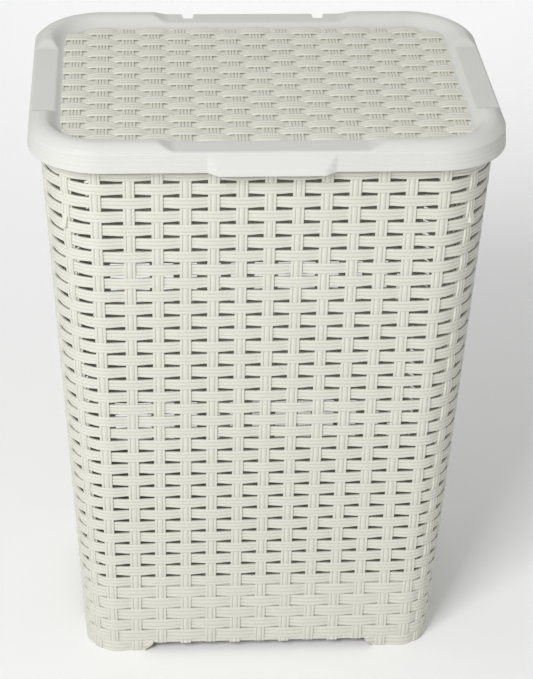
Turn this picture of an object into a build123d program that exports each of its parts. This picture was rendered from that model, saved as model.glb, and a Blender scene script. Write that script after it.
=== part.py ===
from build123d import *
import os

# Laundry hamper with a hinged lid: a tapered, woven-look basket moulding that stands on four
# corner feet, and a lid moulding that snaps onto two hooks at the back of the basket.
# Millimetres, +Z up, front facing -Y. Everything is modelled about the lid's centre line, then
# moved back by half the lift lip's reach, so the origin is under the centre of the whole part.

# ---- overall sizes ----
LID_LENGTH = 452.0  # left to right over the skirt
LID_DEPTH = 346.0  # front to back over the skirt
TOTAL_HEIGHT = 608.0  # floor to the crest of the lid
LID_CORNER_R = 70.0

# ---- basket ----
OVERHANG = 10.6  # lid edge beyond the basket's wall, at the top of the basket
TAPER = 32.2  # how far each wall leans in from top to floor
FOOT_CORNER_R = 35.0  # outer corner radius at the floor
WALL = 3.0
EDGE_HEIGHT = 10.0  # bottom edge of the walls between the feet
FOOT_LENGTH = 61.0  # along a wall, from the basket's outer corner
FOOT_SLOPE = 10.0  # how much longer a foot is at its top
FOOT_THICKNESS = 5.0
BASE_HEIGHT = 20.0  # underside of the base
BASE_THICKNESS = 3.5
BASE_HOLE_R = 6.0
BASE_HOLE_PITCH = 46.0
BASE_HOLE_BORDER = 30.0
BASE_RIB = 2.5
BASE_RIB_DEPTH = 6.0

# ---- basket rim ----
RIM_THICKNESS = 3.0
RIM_LIP_DEPTH = 12.0
RIM_LIP_WALL = 2.5
RIM_GAP = 2.5  # from the rim's lip to the inside of the lid's skirt

# ---- hand holds, one in each side wall ----
HAND_LENGTH = 100.0
HAND_HEIGHT = 28.0
HAND_DROP = 58.0  # centre of the hand hold below the basket's top
HAND_FRAME = 8.0  # width of the moulded border
HAND_PROUD = 2.0  # how far the border stands out of the wall

# ---- stops that keep nested baskets apart ----
STOP_DROP = 84.0  # underside of the stop below the basket's top
STOP_HEIGHT = 15.0
STOP_WIDTH = 5.0
STOP_REACH = 4.0
STOP_ANGLE = 50.0  # where it stands on the corner's curve, from the X axis

# ---- lid ----
LID_WALL = 2.5
CROWN_RISE = 10.0  # crest above the woven panel
EDGE_RISE = 3.5  # top of the skirt above the woven panel
SKIRT_HEIGHT = 19.8
CREST_INSET = 12.5  # crest line in from the skirt's face
CREST_WIDTH = 3.0
PANEL_INSET_X = 30.0  # panel's edge in from the skirt's face, at the sides
PANEL_INSET_Y = 34.5  # the same at the front and back
PANEL_CORNER_R = 42.0
PANEL_THICKNESS = 3.0
DIP_RISE = 4.0  # floor of the four dips above the woven panel
DIP_HALF_X = 90.0  # half the floor length of the front and back dips
DIP_HALF_Y = 76.0  # half the floor length of the side dips
DIP_RAMP = 15.0
REST_GAP = 0.3  # from the lid to the rim that it rests on

# ---- lift lip ----
LIP_HALF = 59.5
LIP_REACH = 4.5
LIP_RAMP = 11.0
LIP_DROP = 2.0  # below the skirt
LIP_EDGE = 2.2

# ---- hinge ----
HINGE_X = 68.0
NOTCH_WIDTH = 12.0
NOTCH_DEPTH = 12.5
CHEEK = 2.5
CHEEK_DEPTH = 8.5  # in from the lid's back face
BAR_R = 2.5
BAR_CLEARANCE = 0.05
BAR_INSET = 5.5  # hinge line in from the lid's back face
BAR_LIFT = 3.5  # hinge line above the bottom of the skirt
HOOK_WIDTH = 9.0
HOOK_WALL = 2.25
HOOK_MOUTH = 4.2
HOOK_ROOT = 18.0  # how far the hook's gusset runs down the wall

# ---- worked out ----
HALF_X = LID_LENGTH / 2
HALF_Y = LID_DEPTH / 2
PANEL_TOP = TOTAL_HEIGHT - CROWN_RISE
LID_EDGE = PANEL_TOP + EDGE_RISE
DIP_FLOOR = PANEL_TOP + DIP_RISE
SKIRT_BOTTOM = LID_EDGE - SKIRT_HEIGHT
PANEL_BOTTOM = PANEL_TOP - PANEL_THICKNESS
RIM_TOP = DIP_FLOOR - LID_WALL - REST_GAP
WALL_TOP = RIM_TOP - RIM_THICKNESS
TOP_CORNER_R = LID_CORNER_R - OVERHANG
HINGE_Y = HALF_Y - BAR_INSET
HINGE_Z = SKIRT_BOTTOM + BAR_LIFT
CENTRE_SHIFT = LIP_REACH / 2
FAR = LID_LENGTH + LID_DEPTH


def wall_size(z, inset=0.0):
    """Half length, half depth and corner radius of the basket at a height."""
    share = z / RIM_TOP
    lean = TAPER * (1 - share)
    radius = FOOT_CORNER_R + (TOP_CORNER_R - FOOT_CORNER_R) * share
    return HALF_X - OVERHANG - lean - inset, HALF_Y - OVERHANG - lean - inset, radius - inset


def rounded(half_x, half_y, radius, z):
    return Pos(0, 0, z) * RectangleRounded(2 * half_x, 2 * half_y, radius)


def tapered_block(low, high, inset=0.0):
    """The basket's own rounded, leaning shape as a solid between two heights."""
    bottom = rounded(*wall_size(low, inset), low)
    top = rounded(*wall_size(high, inset), high)
    return loft([bottom, top], ruled=True)


def prism(half_x, half_y, radius, low, high):
    return extrude(rounded(half_x, half_y, radius, low), amount=high - low)


def span(x0, x1, y0, y1, z0, z1):
    """A plain block between two corners."""
    block = Box(x1 - x0, y1 - y0, z1 - z0)
    return Pos((x0 + x1) / 2, (y0 + y1) / 2, (z0 + z1) / 2) * block


def wall_plate(along_x):
    """One flat leaning wall between its two corner posts, on the +Y or +X side."""
    sections = []
    for z in (EDGE_HEIGHT, WALL_TOP):
        half_x, half_y, radius = wall_size(z)
        if along_x:
            outline = Pos(0, half_y - WALL / 2, z) * Rectangle(2 * (half_x - radius), WALL)
        else:
            outline = Pos(half_x - WALL / 2, 0, z) * Rectangle(WALL, 2 * (half_y - radius))
        sections.append(outline)
    return loft(sections, ruled=True)


def corner_post():
    """The quarter-round wall at the +X +Y corner."""
    sections = []
    for z in (EDGE_HEIGHT, WALL_TOP):
        half_x, half_y, radius = wall_size(z)
        centre_x = half_x - radius
        centre_y = half_y - radius
        outer = CenterArc((centre_x, centre_y), radius, 0, 90)
        inner = CenterArc((centre_x, centre_y), radius - WALL, 0, 90)
        side_end = Line((half_x, centre_y), (half_x - WALL, centre_y))
        back_end = Line((centre_x, half_y), (centre_x, half_y - WALL))
        sections.append(Pos(0, 0, z) * make_face([outer, inner, side_end, back_end]))
    return loft(sections, ruled=True)


def stadium(length, height, x0, x1, z):
    """A slot-shaped block along X, with its long way along Y."""
    plane = Plane(origin=(x0, 0, z), x_dir=(0, 1, 0), z_dir=(1, 0, 0))
    return extrude(plane * SlotOverall(length, height), amount=x1 - x0)


def hand_hold():
    """The block that the border fills in the +X wall, and the border itself."""
    z = RIM_TOP - HAND_DROP
    tall = HAND_HEIGHT + 2 * HAND_FRAME
    long = HAND_LENGTH + 2 * HAND_FRAME
    outer_x = wall_size(z + tall / 2)[0] + HAND_PROUD
    inner_x = wall_size(z - tall / 2)[0] - WALL - HAND_PROUD
    block = stadium(long, tall, inner_x, outer_x, z)
    border = block - stadium(HAND_LENGTH, HAND_HEIGHT, inner_x - 1, outer_x + 1, z)
    return block, border


def foot():
    """The +X +Y corner foot, with a sloped end on each wall."""
    ring = tapered_block(0, EDGE_HEIGHT) - tapered_block(0, EDGE_HEIGHT, FOOT_THICKNESS)
    half_x, half_y, _ = wall_size(0)
    sections = []
    for z, longer in ((0, 0), (EDGE_HEIGHT, FOOT_SLOPE)):
        low_x = half_x - FOOT_LENGTH - longer
        low_y = half_y - FOOT_LENGTH - longer
        outline = Rectangle(FAR, FAR, align=(Align.MIN, Align.MIN))
        sections.append(Pos(low_x, low_y, z) * outline)
    return ring & loft(sections, ruled=True)


def basket_base():
    """The floor of the basket, with vent holes and two long ribs and two short ones below."""
    top = BASE_HEIGHT + BASE_THICKNESS
    plate = tapered_block(BASE_HEIGHT, top, WALL)
    half_x, half_y, _ = wall_size(BASE_HEIGHT, WALL)
    count_x = int((half_x - BASE_HOLE_BORDER) // BASE_HOLE_PITCH)
    count_y = int((half_y - BASE_HOLE_BORDER) // BASE_HOLE_PITCH)
    holes = []
    for i in range(-count_x, count_x + 1):
        for j in range(-count_y, count_y + 1):
            spot = Pos(i * BASE_HOLE_PITCH, j * BASE_HOLE_PITCH, BASE_HEIGHT)
            holes.append(spot * Cylinder(BASE_HOLE_R, 3 * BASE_THICKNESS))
    plate -= holes
    low = BASE_HEIGHT - BASE_RIB_DEPTH
    inside = tapered_block(low, BASE_HEIGHT, WALL)
    half_rib = BASE_RIB / 2
    for side in (-1, 1):
        middle = side * BASE_HOLE_PITCH / 2
        long_rib = span(-FAR, FAR, middle - half_rib, middle + half_rib, low, BASE_HEIGHT)
        short_rib = span(middle - half_rib, middle + half_rib, -FAR, FAR, low, BASE_HEIGHT)
        plate += long_rib & inside
        plate += short_rib & inside
    return plate


def basket_rim():
    """A flange on top of the walls with a turned-down lip, cut flush at the back."""
    inset = LID_WALL + RIM_GAP
    outer = (HALF_X - inset, HALF_Y - inset, LID_CORNER_R - inset)
    inner = tuple(size - RIM_LIP_WALL for size in outer)
    rim = prism(*outer, RIM_TOP - RIM_LIP_DEPTH, RIM_TOP)
    rim -= prism(*inner, RIM_TOP - RIM_LIP_DEPTH, WALL_TOP)
    rim -= tapered_block(WALL_TOP, RIM_TOP, WALL)
    back_face = wall_size(WALL_TOP)[1]
    rim -= span(-FAR, FAR, back_face, FAR, 0, TOTAL_HEIGHT)
    return rim


def nesting_stop():
    """A wedge on the +X +Y corner post: thin at its top, with a flat underside."""
    low = RIM_TOP - STOP_DROP
    half_x, half_y, radius = wall_size(low)
    wedge = Polygon(
        (-STOP_HEIGHT, low),
        (radius + STOP_REACH, low),
        (radius, low + STOP_HEIGHT),
        (-STOP_HEIGHT, low + STOP_HEIGHT),
        align=None,
    )
    wedge = extrude(Plane.XZ * wedge, amount=STOP_WIDTH / 2, both=True)
    wedge = Pos(half_x - radius, half_y - radius, 0) * Rot(0, 0, STOP_ANGLE) * wedge
    return wedge - tapered_block(low - 1, low + STOP_HEIGHT + 1)


def hinge_hook():
    """The +X hook: an open-topped ring on a gusset that stands on the back wall."""
    outer_r = BAR_R + BAR_CLEARANCE + HOOK_WALL
    root_low = HINGE_Z - outer_r - HOOK_ROOT
    inside = HALF_Y - 2 * OVERHANG
    gusset = Polygon(
        (inside, root_low),
        (wall_size(root_low)[1], root_low),
        (HINGE_Y, HINGE_Z - outer_r),
        (HINGE_Y, HINGE_Z + BAR_R),
        (inside, HINGE_Z + BAR_R),
        align=None,
    )
    hook = extrude(Plane.YZ * gusset, amount=HOOK_WIDTH / 2, both=True)
    line = Pos(0, HINGE_Y, HINGE_Z) * Rot(0, 90, 0)
    hook += line * Cylinder(outer_r, HOOK_WIDTH)
    hook -= line * Cylinder(BAR_R + BAR_CLEARANCE, 2 * HOOK_WIDTH)
    half_mouth = HOOK_MOUTH / 2
    hook -= span(-FAR, FAR, HINGE_Y - half_mouth, HINGE_Y + half_mouth, HINGE_Z, TOTAL_HEIGHT)
    hook -= tapered_block(root_low - 1, WALL_TOP)
    return Pos(HINGE_X, 0, 0) * hook


def dip_cutter(half_length, along_x, floor):
    """What is removed above a dip's floor, on the +Y or +X side."""
    rise = TOTAL_HEIGHT - DIP_FLOOR
    outline = Polygon(
        (-half_length, floor),
        (half_length, floor),
        (half_length + 2 * DIP_RAMP, floor + 2 * rise),
        (-half_length - 2 * DIP_RAMP, floor + 2 * rise),
        align=None,
    )
    if along_x:
        return mirror(extrude(Plane.XZ * outline, amount=FAR), Plane.XZ)
    return extrude(Plane.YZ * outline, amount=FAR)


def all_dips(floor):
    back = dip_cutter(DIP_HALF_X, True, floor)
    right = dip_cutter(DIP_HALF_Y, False, floor)
    return back + mirror(back, Plane.XZ) + right + mirror(right, Plane.YZ)


def lid_frame():
    """The lid's crowned rim and skirt, with four dips and two hinge notches."""
    edge = (HALF_X, HALF_Y, LID_CORNER_R)
    crest = tuple(size - CREST_INSET for size in edge)
    crest_in = tuple(size - CREST_WIDTH for size in crest)
    panel = (HALF_X - PANEL_INSET_X, HALF_Y - PANEL_INSET_Y, PANEL_CORNER_R)
    outside = prism(*edge, SKIRT_BOTTOM, LID_EDGE)
    outside += loft([rounded(*edge, LID_EDGE), rounded(*crest, TOTAL_HEIGHT)], ruled=True)
    outside -= all_dips(DIP_FLOOR)
    outside -= loft([rounded(*panel, PANEL_TOP), rounded(*crest_in, TOTAL_HEIGHT)], ruled=True)
    outside -= prism(*panel, SKIRT_BOTTOM, PANEL_TOP)

    skirt_in = tuple(size - LID_WALL for size in edge)
    roof = TOTAL_HEIGHT - LID_WALL
    shoulder = LID_EDGE - LID_WALL / 2
    ridge = tuple(size - CREST_WIDTH / 4 for size in crest)
    ridge_in = tuple(size + CREST_WIDTH / 4 for size in crest_in)
    flank = tuple(size + 1.4 * LID_WALL for size in panel)
    hollow = prism(*skirt_in, SKIRT_BOTTOM, shoulder)
    hollow += loft([rounded(*skirt_in, shoulder), rounded(*ridge, roof)], ruled=True)
    hollow -= loft([rounded(*flank, PANEL_BOTTOM), rounded(*ridge_in, roof)], ruled=True)
    hollow -= all_dips(DIP_FLOOR - LID_WALL)

    frame = outside - hollow
    for side in (-1, 1):
        low = side * HINGE_X - NOTCH_WIDTH / 2
        high = side * HINGE_X + NOTCH_WIDTH / 2
        y0 = HALF_Y - CHEEK_DEPTH
        frame += span(low - CHEEK, high + CHEEK, y0, HALF_Y, SKIRT_BOTTOM, DIP_FLOOR - LID_WALL)
        frame -= span(low, high, HALF_Y - NOTCH_DEPTH, FAR, 0, FAR)
    return frame


def lid_panel():
    """The flat sheet that carries the woven pattern."""
    size = (HALF_X - PANEL_INSET_X, HALF_Y - PANEL_INSET_Y, PANEL_CORNER_R)
    return prism(*size, PANEL_BOTTOM, PANEL_TOP)


def lift_lip():
    """The finger lip on the front of the skirt, flared towards its bottom edge."""
    face = -HALF_Y
    bottom = SKIRT_BOTTOM - LIP_DROP
    side = Polygon(
        (face, LID_EDGE - LID_WALL),
        (face, SKIRT_BOTTOM),
        (face - LIP_REACH + LIP_EDGE, bottom),
        (face - LIP_REACH, bottom),
        align=None,
    )
    top = Polygon(
        (-LIP_HALF, face),
        (LIP_HALF, face),
        (LIP_HALF - LIP_RAMP, face - LIP_REACH),
        (-LIP_HALF + LIP_RAMP, face - LIP_REACH),
        align=None,
    )
    flare = extrude(Plane.YZ * side, amount=LIP_HALF, both=True)
    return flare & extrude(top, amount=TOTAL_HEIGHT, dir=(0, 0, 1))


def hinge_bar():
    """The +X bar across its notch, which turns in the hook."""
    return Pos(HINGE_X, HINGE_Y, HINGE_Z) * Rot(0, 90, 0) * Cylinder(BAR_R, NOTCH_WIDTH)


def both_sides(name, shape, nodes):
    """A +X piece and its mirror image, as seen from the front."""
    nodes[name + "_right"] = shape
    nodes[name + "_left"] = mirror(shape, Plane.YZ)


def build():
    nodes = {}
    back_wall = wall_plate(True)
    hand_block, hand_border = hand_hold()
    nodes["basket_wall_back"] = back_wall
    nodes["basket_wall_front"] = mirror(back_wall, Plane.XZ)
    both_sides("basket_wall", wall_plate(False) - hand_block, nodes)
    both_sides("hand_hold", hand_border, nodes)

    post = corner_post()
    one_foot = foot()
    both_sides("corner_post_back", post, nodes)
    both_sides("corner_post_front", mirror(post, Plane.XZ), nodes)
    both_sides("foot_back", one_foot, nodes)
    both_sides("foot_front", mirror(one_foot, Plane.XZ), nodes)

    nodes["basket_base"] = basket_base()
    nodes["basket_rim"] = basket_rim()
    back_stop = nesting_stop()
    right_stops = back_stop + mirror(back_stop, Plane.XZ)
    nodes["nesting_stops"] = right_stops + mirror(right_stops, Plane.YZ)
    both_sides("hinge_hook", hinge_hook(), nodes)

    nodes["lid_frame"] = lid_frame()
    nodes["lid_woven_panel"] = lid_panel()
    nodes["lid_lift_lip"] = lift_lip()
    both_sides("lid_hinge_bar", hinge_bar(), nodes)
    return nodes


os.makedirs("parts", exist_ok=True)
for node, shape in build().items():
    placed = Pos(0, CENTRE_SHIFT, 0) * shape
    placed.label = node
    export_step(placed, "parts/" + node + ".step")
print("hinge line at y", HINGE_Y + CENTRE_SHIFT, "z", HINGE_Z)
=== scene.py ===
import math

import bmesh
import bpy
import numpy as np
from mathutils import Matrix, Vector


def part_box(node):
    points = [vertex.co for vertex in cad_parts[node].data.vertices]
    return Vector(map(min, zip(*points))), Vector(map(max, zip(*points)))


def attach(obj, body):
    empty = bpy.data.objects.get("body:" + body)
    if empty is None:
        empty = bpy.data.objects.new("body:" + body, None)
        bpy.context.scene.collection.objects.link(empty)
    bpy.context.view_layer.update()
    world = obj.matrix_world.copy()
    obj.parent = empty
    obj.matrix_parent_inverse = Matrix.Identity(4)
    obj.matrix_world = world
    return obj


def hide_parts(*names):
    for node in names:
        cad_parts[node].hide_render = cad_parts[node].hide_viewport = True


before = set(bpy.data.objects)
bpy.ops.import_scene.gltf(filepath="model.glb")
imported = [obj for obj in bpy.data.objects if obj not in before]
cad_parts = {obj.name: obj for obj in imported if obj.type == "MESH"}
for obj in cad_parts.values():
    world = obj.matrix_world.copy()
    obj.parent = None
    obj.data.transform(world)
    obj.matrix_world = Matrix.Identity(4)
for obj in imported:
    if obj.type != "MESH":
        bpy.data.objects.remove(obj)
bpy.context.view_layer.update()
MM = 0.001

# ---- sizes read from the frame, in metres ----
lid_low, lid_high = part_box("lid_frame")
panel_low, panel_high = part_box("lid_woven_panel")
side_low, side_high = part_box("basket_wall_right")
back_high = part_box("basket_wall_back")[1]
post_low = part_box("corner_post_back_right")[0]
lip_low, lip_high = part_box("lid_lift_lip")
hand_low, hand_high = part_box("hand_hold_right")
foot_low, foot_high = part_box("foot_front_right")

CENTRE = Vector((0, (lid_low[1] + lid_high[1]) / 2, 0))
LID_X = lid_high[0]
LID_Y = (lid_high[1] - lid_low[1]) / 2
CREST_Z = lid_high[2]
SKIRT_BOTTOM = lid_low[2]
PANEL_X = panel_high[0]
PANEL_Y = (panel_high[1] - panel_low[1]) / 2
PANEL_Z = panel_high[2]
WALL = 3.0 * MM
EDGE_Z = side_low[2]
WALL_TOP = side_high[2]

# The basket's outline at the bottom and top edge of its walls: half length, half depth, radius.
TOP_X = side_high[0]
TOP_Y = back_high[1] - CENTRE.y
LEAN = TOP_X - (side_low[0] + WALL)
BOTTOM_X = TOP_X - LEAN
BOTTOM_Y = TOP_Y - LEAN
TOP_R = TOP_X - back_high[0]
BOTTOM_R = BOTTOM_X - post_low[0]

# ---- the weave on the walls ----
FIRST_ROW_Z = 566.1 * MM  # top of row 0
ROW = 14.54 * MM
ROWS = 38  # full rows below that level
BLIND_FROM = 33  # rows from here down have no open slots
STRAND = 11.0 * MM
BLIND_STRAND = 13.2 * MM
CORNER_STAKE = 9.5 * MM
CORNER_STRIP = 2 * MM  # closed part of the slots beside a corner stake
STRIP_FACE = -3.0 * MM  # where its front lies, counted outwards from the wall's outer face
STRIP_BACK = -4.2 * MM  # and its back
STRIP_POINTS = 9
STAKE = 11.1 * MM
STAKE_PITCH_TOP = 26.40 * MM
STAKE_PITCH_LOW = 25.96 * MM
WAVE = 0.75 * MM  # how far a strand swings out and in
STAKE_WAVE = WAVE * 0.9
STRAND_SWELL = 0.03  # share by which a strand is higher over a stake, and lower behind one
RIBBON = 1.8 * MM
STRAND_REED = 0.6 * MM
STAKE_REED = 0.85 * MM
FLOOR_GAP = 0.2 * MM  # lowest height of a strand or stake
WEAVE_INSET = 2.0 * MM  # middle of the weave, in from the wall's outer face
STAKE_FIRST_ROW = -1.5  # where the stakes end at the top, in rows
STAKE_LAST_ROW = ROWS - 0.25  # where they end at the wall's bottom edge
FOOT_LAST_ROW = ROWS + 0.5  # and on the floor, at the corners and in the feet
FRONT_STAKES = 6  # stakes each side of the middle one
SIDE_STAKES = 4
# The outermost stake leans towards the corner: its distance in pitches at the top and bottom.
OUTER_PITCHES = {FRONT_STAKES: (6.2, 5.95), SIDE_STAKES: (4.24, 3.95)}
WALLS = {
    "front": (FRONT_STAKES, 0),
    "right": (SIDE_STAKES, 90),
    "back": (FRONT_STAKES, 180),
    "left": (SIDE_STAKES, 270),
}


# ---- materials ----
def mottled(nodes, links, patches, colour, mottle):
    """A colour that varies a little from patch to patch."""
    tint = nodes.new("ShaderNodeMix")
    tint.data_type = "RGBA"
    tint.inputs[6].default_value = (*[c * (1 - mottle) for c in colour], 1)
    tint.inputs[7].default_value = (*[min(1, c * (1 + mottle)) for c in colour], 1)
    links.new(patches.outputs["Fac"], tint.inputs["Factor"])
    return tint.outputs[2]


def painted_groove_shade(nodes, links, tint, colour, groove_shade_amount):
    """The tint, mixed with a darker and warmer painted shade in the grooves, where pointiness is low.
    """
    points = nodes.new("ShaderNodeNewGeometry")
    # mask of painted shade: full in concave grooves, none on flat or convex faces
    groove_shade_mask = nodes.new("ShaderNodeMapRange")
    groove_shade_mask.inputs["From Min"].default_value = 0.42
    groove_shade_mask.inputs["From Max"].default_value = 0.52
    groove_shade_mask.inputs["To Min"].default_value = groove_shade_amount
    groove_shade_mask.inputs["To Max"].default_value = 0.0
    links.new(points.outputs["Pointiness"], groove_shade_mask.inputs["Value"])
    shade = nodes.new("ShaderNodeMix")
    shade.data_type = "RGBA"
    # the painted shade colour, darker and warmer than the plastic, standing in for shade in the
    # grooves
    shade.inputs[7].default_value = (colour[0] * 0.60, colour[1] * 0.56, colour[2] * 0.44, 1)
    links.new(groove_shade_mask.outputs["Result"], shade.inputs["Factor"])
    links.new(tint, shade.inputs[6])
    return shade.outputs[2]


def grained(nodes, links, place, grain):
    """The normal of a fine spark-eroded grain."""
    fine = nodes.new("ShaderNodeTexNoise")
    fine.inputs["Scale"].default_value = 1800
    fine.inputs["Detail"].default_value = 2
    links.new(place.outputs["Object"], fine.inputs["Vector"])
    bump = nodes.new("ShaderNodeBump")
    bump.inputs["Strength"].default_value = grain
    bump.inputs["Distance"].default_value = 0.00008
    links.new(fine.outputs["Fac"], bump.inputs["Height"])
    return bump.outputs["Normal"]


def plastic(name, colour, rough=0.42, grain=0.25, mottle=0.03, groove_shade_amount=0.35):
    """Satin moulded plastic: fine grain, faint mottling, and painted shade darkening its grooves."""
    mat = bpy.data.materials.new(name)
    mat.use_nodes = True
    nodes, links = mat.node_tree.nodes, mat.node_tree.links
    shader = nodes["Principled BSDF"]
    place = nodes.new("ShaderNodeTexCoord")
    patches = nodes.new("ShaderNodeTexNoise")
    patches.inputs["Scale"].default_value = 14
    patches.inputs["Detail"].default_value = 4
    links.new(place.outputs["Object"], patches.inputs["Vector"])
    tint = mottled(nodes, links, patches, colour, mottle)
    # base colour: the mottled tint with painted shade in the grooves
    links.new(painted_groove_shade(nodes, links, tint, colour, groove_shade_amount), shader.inputs["Base Color"])
    links.new(grained(nodes, links, place, grain), shader.inputs["Normal"])

    wear = nodes.new("ShaderNodeMapRange")
    wear.inputs["To Min"].default_value = rough - 0.05
    wear.inputs["To Max"].default_value = rough + 0.06
    links.new(patches.outputs["Fac"], wear.inputs["Value"])
    links.new(wear.outputs["Result"], shader.inputs["Roughness"])
    shader.inputs["IOR"].default_value = 1.49
    shader.inputs["Specular IOR Level"].default_value = 0.45
    return mat


IVORY = (0.65, 0.645, 0.575)
LID_IVORY = (0.64, 0.645, 0.612)
# the last argument sets how much painted shade goes into the grooves, strongest in the weave
woven_plastic = plastic("woven_ivory_plastic", IVORY, groove_shade_amount=0.6)
smooth_plastic = plastic("smooth_ivory_plastic", LID_IVORY, rough=0.46, grain=0.15, groove_shade_amount=0.1)
inner_plastic = plastic("basket_ivory_plastic", IVORY, rough=0.45, grain=0.3, groove_shade_amount=0.1)


# ---- mesh helpers ----
class Pile:
    """Collects closed tubes into one mesh."""

    def __init__(self):
        self.points = []
        self.faces = []
        self.count = 0

    def tube(self, rings, closed=False):
        """rings: an array (ring, point round the ring, xyz). The ends get caps unless closed."""
        n, m, _ = rings.shape
        self.points.append(rings.reshape(-1, 3))
        index = np.arange(n * m).reshape(n, m) + self.count
        ahead = np.roll(index, -1, axis=1)
        last = n if closed else n - 1
        nexts = np.roll(index, -1, axis=0)[:last]
        nexts_ahead = np.roll(ahead, -1, axis=0)[:last]
        quads = np.stack([index[:last], nexts, nexts_ahead, ahead[:last]], axis=-1)
        self.faces += quads.reshape(-1, 4).tolist()
        if not closed:
            self.faces.append(index[0].tolist())
            self.faces.append(index[-1, ::-1].tolist())
        self.count += n * m

    def make(self, name, material, sharp=40):
        mesh = bpy.data.meshes.new(name)
        mesh.from_pydata(np.concatenate(self.points).tolist(), [], self.faces)
        mesh.materials.append(material)
        for polygon in mesh.polygons:
            polygon.use_smooth = True
        mesh.set_sharp_from_angle(angle=math.radians(sharp))
        piece = bpy.data.objects.new(name, mesh)
        bpy.context.scene.collection.objects.link(piece)
        return piece


def reed_profile(widths):
    """Across a ribbon from -0.5 to 0.5, and the height of its round reeds from 0 to 1."""
    across = []
    height = []
    start = -0.5
    for width in widths:
        for step in (0.0, 0.12, 0.5, 0.88):
            across.append(start + step * width)
            height.append(math.sqrt(max(0.0, 1 - (2 * step - 1) ** 2)))
        start += width
    across.append(0.5)
    height.append(0.0)
    return np.array(across), np.array(height)


STRAND_REEDS = (0.3, 0.4, 0.3)
STAKE_REEDS = (0.26, 0.48, 0.26)


def ribbon_section(reeds, reed_height, thickness):
    """A ribbon's closed outline: across as a share of its width, and out in metres."""
    across, height = reed_profile(reeds)
    front = thickness / 2 + height * reed_height
    outline_across = np.concatenate([across, [0.5, -0.5]])
    outline_out = np.concatenate([front, [-thickness / 2, -thickness / 2]])
    return outline_across, outline_out


def eased(t):
    """A cosine from 1 to -1 over t = 0..1, flatter at both ends than a plain one."""
    c = np.cos(np.pi * t)
    return c / (0.35 + 0.65 * np.abs(c))


# ---- where things are on the basket's walls ----
def share_up(z):
    return (z - EDGE_Z) / (WALL_TOP - EDGE_Z)


def outline_at(z, stakes):
    """Straight half length, distance from the middle, and corner radius of a wall at height z."""
    up = share_up(z)
    half_x = BOTTOM_X + LEAN * up
    half_y = BOTTOM_Y + LEAN * up
    radius = BOTTOM_R + (TOP_R - BOTTOM_R) * up
    if stakes == FRONT_STAKES:
        return half_x - radius, half_y, radius
    return half_y - radius, half_x, radius


def stake_place(k, z, stakes):
    """Distance of stake k from the middle of its wall, along the wall, at height z."""
    down = (FIRST_ROW_Z - z) / (ROWS * ROW)
    pitch = STAKE_PITCH_TOP + (STAKE_PITCH_LOW - STAKE_PITCH_TOP) * down
    if abs(k) > stakes:
        return math.copysign(1, k) * corner_place(z, stakes)
    if abs(k) < stakes:
        return k * pitch
    top, low = OUTER_PITCHES[stakes]
    return math.copysign(1, k) * pitch * (top + (low - top) * down)


CORNER_STAKE_ANGLE = math.radians(40)  # round the corner from the front or back wall


def corner_place(z, stakes):
    """Distance along the wall from its middle to the stake in its rounded corner."""
    straight, _, radius = outline_at(z, stakes)
    if stakes == FRONT_STAKES:
        return straight + radius * CORNER_STAKE_ANGLE
    return straight + radius * (math.pi / 2 - CORNER_STAKE_ANGLE)


def on_wall(along, z, out, stakes, turn):
    """Points in the frame from distance along a wall, height, and distance out of its face."""
    straight, away, radius = outline_at(z, stakes)
    angle = np.clip((np.abs(along) - straight) / radius, 0, None)
    side = np.sign(along)
    bent = angle > 0
    x = np.where(bent, side * (straight + (radius + out) * np.sin(angle)), along)
    y = -np.where(bent, away - radius + (radius + out) * np.cos(angle), away + out)
    c, s = math.cos(math.radians(turn)), math.sin(math.radians(turn))
    return np.stack([c * x - s * y, s * x + c * y + CENTRE.y, z + 0 * x], axis=-1)


# ---- the hand holes, which the weave stops at ----
HAND_BORDER = 3.5 * MM  # width of the border that the weave's ends are hidden under
HAND_Z = (hand_low[2] + hand_high[2]) / 2
HAND_HALF_Z = (hand_high[2] - hand_low[2]) / 2 - HAND_BORDER
HAND_HALF_Y = (hand_high[1] - hand_low[1]) / 2 - HAND_BORDER


def in_hand_hole(along, z, stakes):
    """True inside the border of a side wall's hand hole."""
    if stakes != SIDE_STAKES:
        return np.zeros(np.shape(along), bool)
    past = np.clip(np.abs(along) - (HAND_HALF_Y - HAND_HALF_Z), 0, None)
    return past**2 + (z - HAND_Z) ** 2 < HAND_HALF_Z**2


def runs(keep):
    """Start and end of each run of true values."""
    edges = np.flatnonzero(np.diff(np.concatenate([[0], keep.astype(int), [0]])))
    return list(zip(edges[::2], edges[1::2]))


# ---- strands and stakes ----
STRAND_STEPS = 6
STAKE_STEPS = 4


def strand_rings(row, stakes):
    """One strand along a wall, from corner to corner, as rings."""
    middle = FIRST_ROW_Z - (row + 0.5) * ROW
    height = BLIND_STRAND if row >= BLIND_FROM else STRAND
    stops = []
    waves = []
    for k in range(-stakes - 1, stakes + 2):
        stops.append(stake_place(k, middle, stakes))
        waves.append(-1.0 if (k + row) % 2 else 1.0)
    along = []
    wave = []
    for i in range(len(stops) - 1):
        t = np.arange(STRAND_STEPS) / STRAND_STEPS
        along.append(stops[i] + (stops[i + 1] - stops[i]) * t)
        middle_wave = (waves[i] + waves[i + 1]) / 2
        wave.append(middle_wave + (waves[i] - waves[i + 1]) / 2 * eased(t))
    along = np.append(np.concatenate(along), stops[-1])
    wave = np.append(np.concatenate(wave), waves[-1])
    across, out = ribbon_section(STRAND_REEDS, STRAND_REED, RIBBON)
    swell = 1 + STRAND_SWELL * wave
    z = middle + np.outer(swell * height, across)
    z = np.maximum(z, FLOOR_GAP)
    n = -WEAVE_INSET + WAVE * wave[:, None] + out[None, :]
    u = np.repeat(along[:, None], len(across), axis=1)
    return u, z, n


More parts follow.
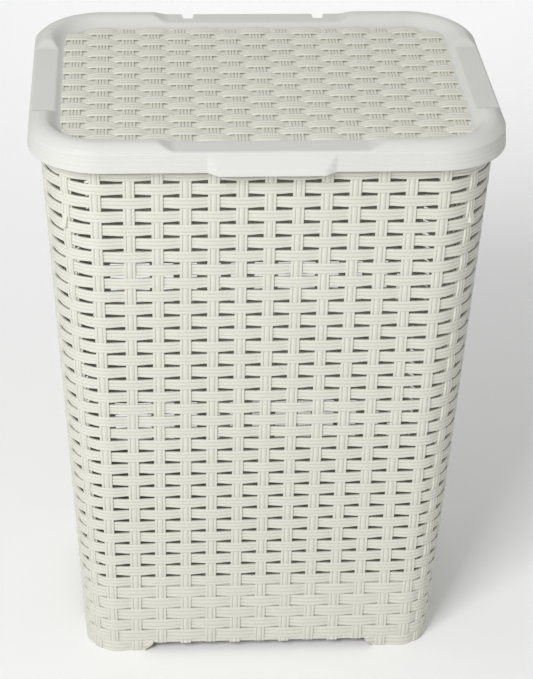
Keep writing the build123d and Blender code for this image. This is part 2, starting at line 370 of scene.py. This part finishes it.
def stake_rings(k, stakes, low_row, high_row):
    """One upright stake, as rings from low to high."""
    rows = np.arange(low_row * STAKE_STEPS, high_row * STAKE_STEPS - 1, -1) / STAKE_STEPS
    middle = FIRST_ROW_Z - (rows + 0.5) * ROW
    near = np.floor(rows)
    t = rows - near
    sign = np.where((k + near) % 2 == 1, 1.0, -1.0)
    wave = sign * eased(t)
    across, out = ribbon_section(STAKE_REEDS, STAKE_REED, RIBBON)
    # the outline runs from +along to -along so that the faces look outwards
    width = STAKE if abs(k) <= stakes else CORNER_STAKE
    u = stake_place(k, middle, stakes)[:, None] - np.outer(np.full(len(rows), width), across)
    z = np.repeat(middle[:, None], len(across), axis=1)
    n = -WEAVE_INSET + STAKE_WAVE * wave[:, None] + out[None, :]
    return u, z, n


def woven_wall(side):
    """The strands and the stakes of one wall, as two pieces."""
    stakes, turn = WALLS[side]
    strands = Pile()
    for row in range(-1, ROWS):
        u, z, n = strand_rings(row, stakes)
        keep = ~in_hand_hole(u[:, 0], z.mean(axis=1), stakes)
        for start, end in runs(keep):
            if end - start > 1:
                strands.tube(on_wall(u[start:end], z[start:end], n[start:end], stakes, turn))
    uprights = Pile()
    for k in range(-stakes, stakes + 1):
        u, z, n = stake_rings(k, stakes, STAKE_LAST_ROW, STAKE_FIRST_ROW)
        keep = ~in_hand_hole(u.mean(axis=1), z[:, 0], stakes)
        for start, end in runs(keep):
            if end - start > 1:
                uprights.tube(on_wall(u[start:end], z[start:end], n[start:end], stakes, turn))
    strand_piece = strands.make("weave_strands_" + side, woven_plastic)
    stake_piece = uprights.make("weave_stakes_" + side, woven_plastic)
    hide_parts("basket_wall_" + side)
    for piece in (strand_piece, stake_piece):
        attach(piece, "basket")


def corner_stake(name, stakes, turn):
    """The upright stake in one rounded corner, with the closed strip behind it."""
    pile = Pile()
    u, z, n = stake_rings(stakes + 1, stakes, FOOT_LAST_ROW, STAKE_FIRST_ROW)
    z = np.maximum(z, FLOOR_GAP)
    pile.tube(on_wall(u, z, n, stakes, turn))
    # the strip closes the slots for a little way on both sides of the stake
    levels = np.linspace(1 * MM, WALL_TOP, 60)
    half = CORNER_STAKE / 2 + CORNER_STRIP
    face = np.linspace(half, -half, STRIP_POINTS)
    back = np.linspace(-half, half, STRIP_POINTS)
    across = np.concatenate([face, back])
    depth = np.concatenate([np.full(STRIP_POINTS, STRIP_FACE), np.full(STRIP_POINTS, STRIP_BACK)])
    along = corner_place(levels, stakes)[:, None] + across[None, :]
    out = np.repeat(depth[None, :], len(levels), axis=0)
    height = np.repeat(levels[:, None], len(across), axis=1)
    pile.tube(on_wall(along, height, out, stakes, turn))
    stake = pile.make("corner_stake_" + name, woven_plastic)
    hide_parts("corner_post_" + name)
    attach(stake, "basket")


def hoop(pile, z_low, z_high, out_low, out_high, rounding=0.4 * MM):
    """A plain band all round the basket between two heights, out_low to out_high deep."""
    section = [
        (z_low + rounding, out_high),
        (z_high - rounding, out_high),
        (z_high, out_high - rounding),
        (z_high, out_low),
        (z_low, out_low),
        (z_low, out_high - rounding),
    ]
    rings = []
    for stakes, turn in WALLS.values():
        straight, _, radius = outline_at(z_low, stakes)
        bend = np.linspace(0, math.pi / 4, 10) * radius
        along = np.concatenate([-straight - bend[:0:-1], [-straight, straight], straight + bend[1:-1]])
        for u in along:
            rings.append([on_wall(np.array(u), np.array(z), o, stakes, turn) for z, o in section])
    pile.tube(np.array(rings), closed=True)


for wall in WALLS:
    woven_wall(wall)
for corner, (wall_stakes, wall_turn) in {
    "front_right": (FRONT_STAKES, 0),
    "back_right": (SIDE_STAKES, 90),
    "back_left": (FRONT_STAKES, 180),
    "front_left": (SIDE_STAKES, 270),
}.items():
    corner_stake(corner, wall_stakes, wall_turn)


def edge_bands():
    """The stiff top edge, the closed sheet behind the lowest rows, and the thick bottom edge."""
    bands = Pile()
    top_edge_low = FIRST_ROW_Z + ROW - 1 * MM
    sheet_high = FIRST_ROW_Z - BLIND_FROM * ROW + 2 * MM
    hoop(bands, top_edge_low, WALL_TOP, -4.6 * MM, -0.4 * MM)
    hoop(bands, EDGE_Z, sheet_high, -4.8 * MM, -3.0 * MM)
    hoop(bands, EDGE_Z, EDGE_Z + 5 * MM, -4.8 * MM, -1.4 * MM)
    hoop_piece = bands.make("basket_edge_bands", woven_plastic)
    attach(hoop_piece, "basket")


edge_bands()


# ---- feet ----
FOOT_SLOPE = 10 * MM  # how much longer a foot is at its top than on the floor
FOOT_END = (foot_high[0] - foot_low[0]) - FOOT_SLOPE
FOOT_STAKE_SHARE = 0.96  # a foot's stake starts inside the wall's stake, so it is slimmer
FOOT_STAKE_SUNK = 0.2 * MM  # and lies deeper
FOOT_SKIN_FACE = -2.6 * MM
FOOT_SKIN_BACK = -5 * MM


def foot_weave(stakes, turn, mirrored):
    """The woven half of a foot that lies on one wall."""
    pile = Pile()
    u, z, n = strand_rings(ROWS, stakes)
    bottom_x = outline_at(0.0, stakes)[0] + outline_at(0.0, stakes)[2]
    end = bottom_x - FOOT_END
    near = np.abs(u[:, 0]) > end - FOOT_SLOPE
    side = -1 if mirrored else 1
    keep = near & (np.sign(u[:, 0]) == side)
    start, stop = runs(keep)[0]
    uu, zz, nn = u[start:stop].copy(), z[start:stop], n[start:stop]
    uu = side * np.maximum(np.abs(uu), end - zz)
    pile.tube(on_wall(uu, zz, nn, stakes, turn))
    for k in range(stakes - 1, stakes + 1):
        u, z, n = stake_rings(side * k, stakes, FOOT_LAST_ROW, ROWS - 1.0)
        if np.abs(u).min() > end:
            middle = u.mean(axis=1, keepdims=True)
            u = middle + (u - middle) * FOOT_STAKE_SHARE
            z = np.maximum(z, FLOOR_GAP)
            pile.tube(on_wall(u, z, n - FOOT_STAKE_SUNK, stakes, turn))
    # the plain skin behind the foot's strand
    along = np.linspace(end, corner_place(0.005, stakes), 24)
    skin_top = EDGE_Z + 1 * MM
    section = [
        (0.0, FOOT_SKIN_FACE),
        (skin_top, FOOT_SKIN_FACE),
        (skin_top, FOOT_SKIN_BACK),
        (0.0, FOOT_SKIN_BACK),
    ]
    rings = []
    for a in along if side > 0 else along[::-1]:
        first = a == along[0]
        ring = []
        for height, out in section:
            u = side * (a - (height if first else 0))
            ring.append(on_wall(np.array(u), np.array(height), out, stakes, turn))
        rings.append(ring)
    pile.tube(np.array(rings))
    return pile


def foot_piece(front, hand):
    """One foot: its half on the front or back wall and its half on the side wall."""
    long_turn = 0 if front == "front" else 180
    short_turn = 90 if hand == "right" else 270
    long_mirrored = (hand == "left") == (front == "front")
    short_mirrored = (front == "front") == (hand == "right")
    long_half = foot_weave(FRONT_STAKES, long_turn, long_mirrored)
    short_half = foot_weave(SIDE_STAKES, short_turn, short_mirrored)
    whole = Pile()
    whole.points = long_half.points + short_half.points
    shifted = [[i + long_half.count for i in face] for face in short_half.faces]
    whole.faces = long_half.faces + shifted
    foot = whole.make("foot_weave_" + front + "_" + hand, woven_plastic)
    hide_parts("foot_" + front + "_" + hand)
    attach(foot, "basket")


for front_or_back in ("front", "back"):
    for right_or_left in ("right", "left"):
        foot_piece(front_or_back, right_or_left)


# ---- lid rim ----
LID_R = 70 * MM
LID_SKIN = 2.5 * MM
DIP_FLOOR = PANEL_Z + 4 * MM
DIP_RAMP = 22 * MM
DIP_HALF = {"x": 88 * MM, "y": 73 * MM}
SHOULDER = 601.5 * MM
LIP_HALF = lip_high[0]
LIP_REACH = -lip_low[1] - LID_Y + CENTRE.y
LIP_BOTTOM = lip_low[2]
LIP_TOP = 599.0 * MM
LIP_RAMP = 11 * MM
STEP_LEVELS = (586 * MM, 590.5 * MM, 595 * MM)
STEP_DEPTH = 0.4 * MM
STEP_RISE = 0.45 * MM
SKIRT_ROUND = 1.5 * MM  # radius of the edge between the skirt and the shoulder
SKIRT_ROUND_Z = 600.0 * MM  # height of its centre
SIDE_FLANK = 2.5 * MM  # how far the rim's left and right sides reach in past the panel's edge
CROWN_POINTS = 30
NO_CUT = 1.0  # a height far above the lid, in metres


def lid_stations():
    """Points round the lid: place, outward direction, distance from the side's middle, side."""
    straight_x = LID_X - LID_R
    straight_y = LID_Y - LID_R
    stations = []

    def spaced(half, dense):
        """Distances along a side, closer together near the dense places."""
        places = set(np.round(np.linspace(-half, half, int(half / (4 * MM))), 6))
        for middle, reach in dense:
            for sign in (-1, 1):
                for t in np.arange(-reach, reach + 1e-9, 1.0 * MM):
                    place = round(sign * middle + t, 6)
                    if abs(place) < half:
                        places.add(place)
        return sorted(places)

    def corner(cx, cy, start):
        for a in np.linspace(0, math.pi / 2, 31)[1:-1]:
            normal = Vector((math.cos(start + a), math.sin(start + a), 0))
            stations.append((Vector((cx, cy, 0)) + LID_R * normal, normal, a, "corner"))

    dips_x = [(DIP_HALF["x"] + DIP_RAMP / 2, DIP_RAMP), (LIP_HALF - LIP_RAMP / 2, LIP_RAMP)]
    dips_y = [(DIP_HALF["y"] + DIP_RAMP / 2, DIP_RAMP)]
    for t in spaced(straight_x, dips_x):
        stations.append((Vector((t, -LID_Y, 0)), Vector((0, -1, 0)), t, "front"))
    corner(straight_x, -straight_y, -math.pi / 2)
    for t in spaced(straight_y, dips_y):
        stations.append((Vector((LID_X, t, 0)), Vector((1, 0, 0)), t, "side"))
    corner(straight_x, straight_y, 0)
    for t in spaced(straight_x, dips_x):
        stations.append((Vector((-t, LID_Y, 0)), Vector((0, 1, 0)), t, "back"))
    corner(-straight_x, straight_y, math.pi / 2)
    for t in spaced(straight_y, dips_y):
        stations.append((Vector((-LID_X, -t, 0)), Vector((-1, 0, 0)), t, "side"))
    corner(-straight_x, -straight_y, math.pi)
    return stations


def crown_height(inward, width):
    """Top of the crowned rim at a distance in from the skirt; width is the rim's own width."""
    rise_start, crest_start, crest_end = 2.0 * MM, 13.5 * MM, 16.0 * MM
    if inward < crest_start:
        share = max(0.0, (inward - rise_start) / (crest_start - rise_start))
        return SHOULDER + (CREST_Z - SHOULDER) * math.sin(share * math.pi / 2)
    if inward < crest_end:
        return CREST_Z
    share = (inward - crest_end) / (width - crest_end)
    return PANEL_Z + (CREST_Z - PANEL_Z) * (0.5 + 0.5 * math.cos(math.pi * share))


def soft_min(a, b, blend=1.2 * MM):
    gap = max(blend - abs(a - b), 0) / blend
    return min(a, b) - gap * gap * blend / 4


def rim_section(t, side, normal):
    """The lid rim's closed outline at one station: (distance in, height) pairs."""
    share_y = normal.y**2
    side_width = LID_X - PANEL_X + SIDE_FLANK
    width = side_width * (1 - share_y) + (LID_Y - PANEL_Y) * share_y
    lip = 0.0
    if side == "front":
        lip = max(0.0, min(1.0, (LIP_HALF - abs(t)) / LIP_RAMP))

    def reach(z):
        full = LIP_REACH * (LIP_TOP - z) / (LIP_TOP - LIP_BOTTOM)
        return min(max(full, 0.0), LIP_REACH * lip)

    bottom = SKIRT_BOTTOM + (LIP_BOTTOM - SKIRT_BOTTOM) * lip
    section = [(-reach(bottom) + 0.3 * MM, bottom), (-reach(bottom), bottom + 0.4 * MM)]
    inward = 0.0
    for level in STEP_LEVELS:
        section.append((inward - reach(level), level))
        inward += STEP_DEPTH
        section.append((inward - reach(level), level + STEP_RISE))
    section.append((inward - reach(LIP_TOP), LIP_TOP))
    for angle in np.linspace(0, math.pi / 2, 6)[1:-1]:
        across = inward + SKIRT_ROUND * (1 - math.cos(angle))
        section.append((across, SKIRT_ROUND_Z + SKIRT_ROUND * math.sin(angle)))
    half = DIP_HALF["y"] if side == "side" else DIP_HALF["x"]
    cut = NO_CUT
    if side != "corner":
        past = max(0.0, abs(t) - half)
        share = min(1.0, past / DIP_RAMP)
        cut = DIP_FLOOR + (CREST_Z + 1 * MM - DIP_FLOOR) * share * share * (3 - 2 * share)
        cut = cut if share < 1 else NO_CUT
    places = np.linspace(inward + SKIRT_ROUND, width, CROWN_POINTS)
    tops = [soft_min(crown_height(d, width), cut) for d in places]
    section += list(zip(places, tops))
    under = [(d, z - LID_SKIN) for d, z in zip(places, tops) if d > LID_SKIN + 0.5 * MM]
    section += under[::-1]
    section.append((LID_SKIN, under[0][1]))
    section.append((LID_SKIN, SKIRT_BOTTOM))
    section.append((1.2 * MM - reach(bottom) * 0.7, bottom))
    return section


def lid_rim():
    rings = []
    for place, normal, t, side in lid_stations():
        ring = []
        for inward, z in rim_section(t, side, normal):
            point = place - normal * inward
            ring.append((point.x, point.y + CENTRE.y, z))
        rings.append(ring)
    pile = Pile()
    pile.tube(np.array(rings), closed=True)
    rim = pile.make("lid_crowned_rim", smooth_plastic, sharp=28)
    cut_notches(rim)
    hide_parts("lid_frame", "lid_lift_lip")
    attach(rim, "lid")


BAR_BOXES = [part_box("lid_hinge_bar_" + hand) for hand in ("left", "right")]
NOTCH_DEPTH = 15.0 * MM
NOTCH_NARROW = 1.0 * MM  # how much narrower than the bar on each side, at the inner end
NOTCH_WIDE = 0.6 * MM  # how much wider than the bar on each side, 2 mm past the lid's back


def cut_notches(rim):
    """Cuts the two tapered hinge notches out of the back of the rim."""
    cutter_mesh = bpy.data.meshes.new("notch_cutter")
    work = bmesh.new()
    back = LID_Y + CENTRE.y
    for low, high in BAR_BOXES:
        outline = [
            (low[0] + NOTCH_NARROW, back - NOTCH_DEPTH),
            (high[0] - NOTCH_NARROW, back - NOTCH_DEPTH),
            (high[0] + NOTCH_WIDE, back + 2 * MM),
            (low[0] - NOTCH_WIDE, back + 2 * MM),
        ]
        lower = [work.verts.new((x, y, SKIRT_BOTTOM - 5 * MM)) for x, y in outline]
        upper = [work.verts.new((x, y, CREST_Z + 5 * MM)) for x, y in outline]
        work.faces.new(lower[::-1])
        work.faces.new(upper)
        for i in range(4):
            j = (i + 1) % 4
            work.faces.new((lower[i], lower[j], upper[j], upper[i]))
    work.to_mesh(cutter_mesh)
    work.free()
    cutter = bpy.data.objects.new("notch_cutter", cutter_mesh)
    bpy.context.scene.collection.objects.link(cutter)
    change = rim.modifiers.new("notches", "BOOLEAN")
    change.operation = "DIFFERENCE"
    change.solver = "EXACT"
    change.object = cutter
    graph = bpy.context.evaluated_depsgraph_get()
    done = bpy.data.meshes.new_from_object(rim.evaluated_get(graph))
    rim.modifiers.clear()
    rim.data = done
    bpy.data.objects.remove(cutter)


lid_rim()


# ---- woven lid panel ----
COLUMNS = 15
LID_ROWS = 19
CELL_X = 2 * PANEL_X / COLUMNS
CELL_Y = 2 * PANEL_Y / LID_ROWS
PANEL_MIDDLE = PANEL_Z - 1.0 * MM
LID_WAVE = 1.5 * MM
LID_RIBBON = 0.9 * MM
LID_REED = 0.95 * MM
LID_STAKE = 12.8 * MM
PANEL_R = 38 * MM
PANEL_OVERLAP = 1.5 * MM  # how far the strands and stakes run on past the panel's edge
SHEET_OVERLAP = 1 * MM  # and the sheet behind them
SHEET_TOP = PANEL_MIDDLE - 0.3 * MM
SHEET_BOTTOM = PANEL_MIDDLE - 1.0 * MM
LID_STAKE_MIDDLE = PANEL_MIDDLE - 0.45 * MM
LID_STAKE_WAVE = 0.2 * LID_WAVE
LID_STRAND_SHARE = 0.88  # mean width of a strand, as a share of its row
LID_STRAND_LENS = 0.19  # how much wider it is over a stake, and narrower behind one


def panel_reach(distance, half, other_half):
    """How far the rounded panel reaches along one axis, at a distance along the other."""
    past = max(0.0, abs(distance) - (other_half - PANEL_R))
    return half - PANEL_R + math.sqrt(max(0.0, PANEL_R**2 - past**2))


def lid_strand(pile, row):
    """One strand along X, lens-shaped wherever it passes over a stake."""
    y = (LID_ROWS // 2 - row) * CELL_Y
    end = panel_reach(y, PANEL_X, PANEL_Y) + PANEL_OVERLAP
    steps = 8
    columns = np.arange(-steps, COLUMNS * steps + 1) / steps
    x = (columns - COLUMNS // 2) * CELL_X
    keep = np.abs(x) < end
    x, columns = x[keep], columns[keep]
    x = np.concatenate([[-end], x, [end]])
    columns = np.concatenate([[columns[0]], columns, [columns[-1]]])
    near = np.floor(columns)
    t = columns - near
    sign = np.where((near + row) % 2 == 0, -1.0, 1.0)
    wave = sign * eased(t)
    lens = sign * np.cos(np.pi * t)
    width = CELL_Y * (LID_STRAND_SHARE + LID_STRAND_LENS * lens)
    across, out = ribbon_section((1 / 3, 1 / 3, 1 / 3), LID_REED, LID_RIBBON)
    rings = np.zeros((len(x), len(across), 3))
    rings[:, :, 0] = x[:, None]
    rings[:, :, 1] = y + CENTRE.y + np.outer(width, across)
    rings[:, :, 2] = PANEL_MIDDLE + LID_WAVE * wave[:, None] + out[None, :]
    pile.tube(rings)


def lid_stake(pile, column):
    """One four-reed stake along Y, seen only where it passes over a strand."""
    x = (column - COLUMNS // 2) * CELL_X
    end = panel_reach(x, PANEL_Y, PANEL_X) + PANEL_OVERLAP
    steps = 4
    rows = np.arange(-steps, LID_ROWS * steps + 1) / steps
    y = (LID_ROWS // 2 - rows) * CELL_Y
    keep = np.abs(y) < end
    y, rows = y[keep], rows[keep]
    near = np.floor(rows)
    t = rows - near
    wave = np.where((near + column) % 2 == 0, 1.0, -1.0) * eased(t)
    across, out = ribbon_section((0.25, 0.25, 0.25, 0.25), LID_REED, LID_RIBBON)
    rings = np.zeros((len(y), len(across), 3))
    rings[:, :, 0] = x + LID_STAKE * across[None, :]
    rings[:, :, 1] = y[:, None] + CENTRE.y
    rings[:, :, 2] = LID_STAKE_MIDDLE + LID_STAKE_WAVE * wave[:, None] + out[None, :]
    pile.tube(rings)


def panel_sheet(pile):
    """The thin sheet that closes the weave."""
    outline = []
    for cx, cy, start in ((1, 1, 0), (-1, 1, 90), (-1, -1, 180), (1, -1, 270)):
        for a in np.linspace(0, 90, 13):
            angle = math.radians(start + a)
            x = cx * (PANEL_X - PANEL_R) + (PANEL_R + SHEET_OVERLAP) * math.cos(angle)
            y = cy * (PANEL_Y - PANEL_R) + (PANEL_R + SHEET_OVERLAP) * math.sin(angle)
            outline.append((x, y + CENTRE.y))
    low = [(x, y, SHEET_BOTTOM) for x, y in outline]
    high = [(x, y, SHEET_TOP) for x, y in outline]
    pile.tube(np.array([high, low]))


def lid_weave():
    panel = Pile()
    panel_sheet(panel)
    for row in range(LID_ROWS):
        lid_strand(panel, row)
    for column in range(COLUMNS):
        lid_stake(panel, column)
    panel_piece = panel.make("lid_weave", woven_plastic)
    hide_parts("lid_woven_panel")
    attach(panel_piece, "lid")


lid_weave()


# ---- cheeks that carry the hinge bars ----
CHEEK_WIDTH = 2.5 * MM
CHEEK_DEPTH = 8.3 * MM
CHEEK_INSET = 0.2 * MM  # from the lid's back
CHEEK_ROUND = 0.5 * MM


def cheek_blocks():
    work = bmesh.new()
    back = LID_Y + CENTRE.y
    for low, high in BAR_BOXES:
        for x0 in (low[0] - CHEEK_WIDTH, high[0]):
            size = Vector((CHEEK_WIDTH, CHEEK_DEPTH, DIP_FLOOR - LID_SKIN - SKIRT_BOTTOM))
            middle_y = back - CHEEK_INSET - size.y / 2
            middle = Vector((x0 + size.x / 2, middle_y, SKIRT_BOTTOM + size.z / 2))
            matrix = Matrix.Translation(middle) @ Matrix.Diagonal((*size, 1))
            bmesh.ops.create_cube(work, size=1, matrix=matrix)
    bmesh.ops.bevel(work, geom=work.edges[:], offset=CHEEK_ROUND, segments=2, affect="EDGES")
    mesh = bpy.data.meshes.new("lid_hinge_cheeks")
    work.to_mesh(mesh)
    work.free()
    mesh.materials.append(smooth_plastic)
    piece = bpy.data.objects.new("lid_hinge_cheeks", mesh)
    bpy.context.scene.collection.objects.link(piece)
    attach(piece, "lid")


cheek_blocks()

# ---- CAD pieces that keep their shape ----
LID_BARS = ("lid_hinge_bar_left", "lid_hinge_bar_right")
BASKET_PIECES = (
    "basket_base",
    "basket_rim",
    "hand_hold_left",
    "hand_hold_right",
    "nesting_stops",
    "hinge_hook_left",
    "hinge_hook_right",
)
for node in LID_BARS + BASKET_PIECES:
    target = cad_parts[node]
    target.data.materials.clear()
    target.data.materials.append(smooth_plastic if node in LID_BARS else inner_plastic)


# ---- floor, light and camera ----
def floor_material():
    mat = bpy.data.materials.new("pale_floor")
    mat.use_nodes = True
    nodes, links = mat.node_tree.nodes, mat.node_tree.links
    shader = nodes["Principled BSDF"]
    noise = nodes.new("ShaderNodeTexNoise")
    noise.inputs["Scale"].default_value = 3
    tone = nodes.new("ShaderNodeMapRange")
    tone.inputs["To Min"].default_value = 0.94
    tone.inputs["To Max"].default_value = 0.96
    links.new(noise.outputs["Fac"], tone.inputs["Value"])
    links.new(tone.outputs["Result"], shader.inputs["Base Color"])
    shader.inputs["Roughness"].default_value = 0.8
    return mat


FLOOR_HALF = 8.0
WORLD_STRENGTH = 0.45


def studio_floor():
    mesh = bpy.data.meshes.new("floor")
    signs = ((-1, -1), (1, -1), (1, 1), (-1, 1))
    corners = [(x * FLOOR_HALF, y * FLOOR_HALF, 0) for x, y in signs]
    mesh.from_pydata(corners, [], [(0, 1, 2, 3)])
    mesh.materials.append(floor_material())
    floor = bpy.data.objects.new("floor", mesh)
    bpy.context.scene.collection.objects.link(floor)


def studio_world():
    world = bpy.data.worlds.new("studio")
    world.use_nodes = True
    background = world.node_tree.nodes["Background"]
    background.inputs["Color"].default_value = (1.0, 1.0, 1.0, 1)
    background.inputs["Strength"].default_value = WORLD_STRENGTH
    bpy.context.scene.world = world
    bpy.context.scene.view_settings.view_transform = "Standard"


def softbox(name, place, aim, size, power):
    """A rectangular lamp: place, aim and size in metres, power in watts."""
    light = bpy.data.lights.new(name, "AREA")
    light.shape = "RECTANGLE"
    light.size, light.size_y = size
    light.energy = power
    lamp = bpy.data.objects.new(name, light)
    lamp.location = place
    lamp.rotation_euler = (Vector(aim) - Vector(place)).to_track_quat("-Z", "Y").to_euler()
    bpy.context.scene.collection.objects.link(lamp)


studio_floor()
studio_world()
MIDDLE = (0, 0, 0.35)
softbox("key_left", (-1.35, -2.3, 2.3), MIDDLE, (1.3, 1.3), 77)
softbox("top", (0.9, 0.9, 6.5), MIDDLE, (4.5, 4.5), 8)
softbox("backdrop", (0.3, 2.3, 1.1), (0.3, 2.3, 0), (2.4, 2.4), 13)

LENS = 114.7  # millimetres, on a sensor 36 mm wide
SENSOR = 36
CAMERA_YAW = math.radians(4.07)
CAMERA_PITCH = math.radians(29.91)
CAMERA_ROLL = math.radians(1.26)
CAMERA_PLACE = Vector((-0.1295, -1.9643, 0.8402))  # from the middle of the lid panel's top


def studio_camera():
    data = bpy.data.cameras.new("camera")
    camera = bpy.data.objects.new("camera", data)
    bpy.context.scene.collection.objects.link(camera)
    bpy.context.scene.camera = camera
    data.lens = LENS
    data.sensor_width = SENSOR
    data.clip_end = 100
    forward = Vector(
        (
            math.sin(CAMERA_YAW) * math.cos(CAMERA_PITCH),
            math.cos(CAMERA_YAW) * math.cos(CAMERA_PITCH),
            -math.sin(CAMERA_PITCH),
        )
    )
    right = Vector((math.cos(CAMERA_YAW), -math.sin(CAMERA_YAW), 0))
    up = right.cross(forward)
    rolled_right = math.cos(CAMERA_ROLL) * right + math.sin(CAMERA_ROLL) * up
    rolled_up = -math.sin(CAMERA_ROLL) * right + math.cos(CAMERA_ROLL) * up
    turn = Matrix((rolled_right, rolled_up, -forward)).transposed()
    place = CAMERA_PLACE + CENTRE + Vector((0, 0, PANEL_Z))
    camera.matrix_world = Matrix.Translation(place) @ turn.to_4x4()


studio_camera()
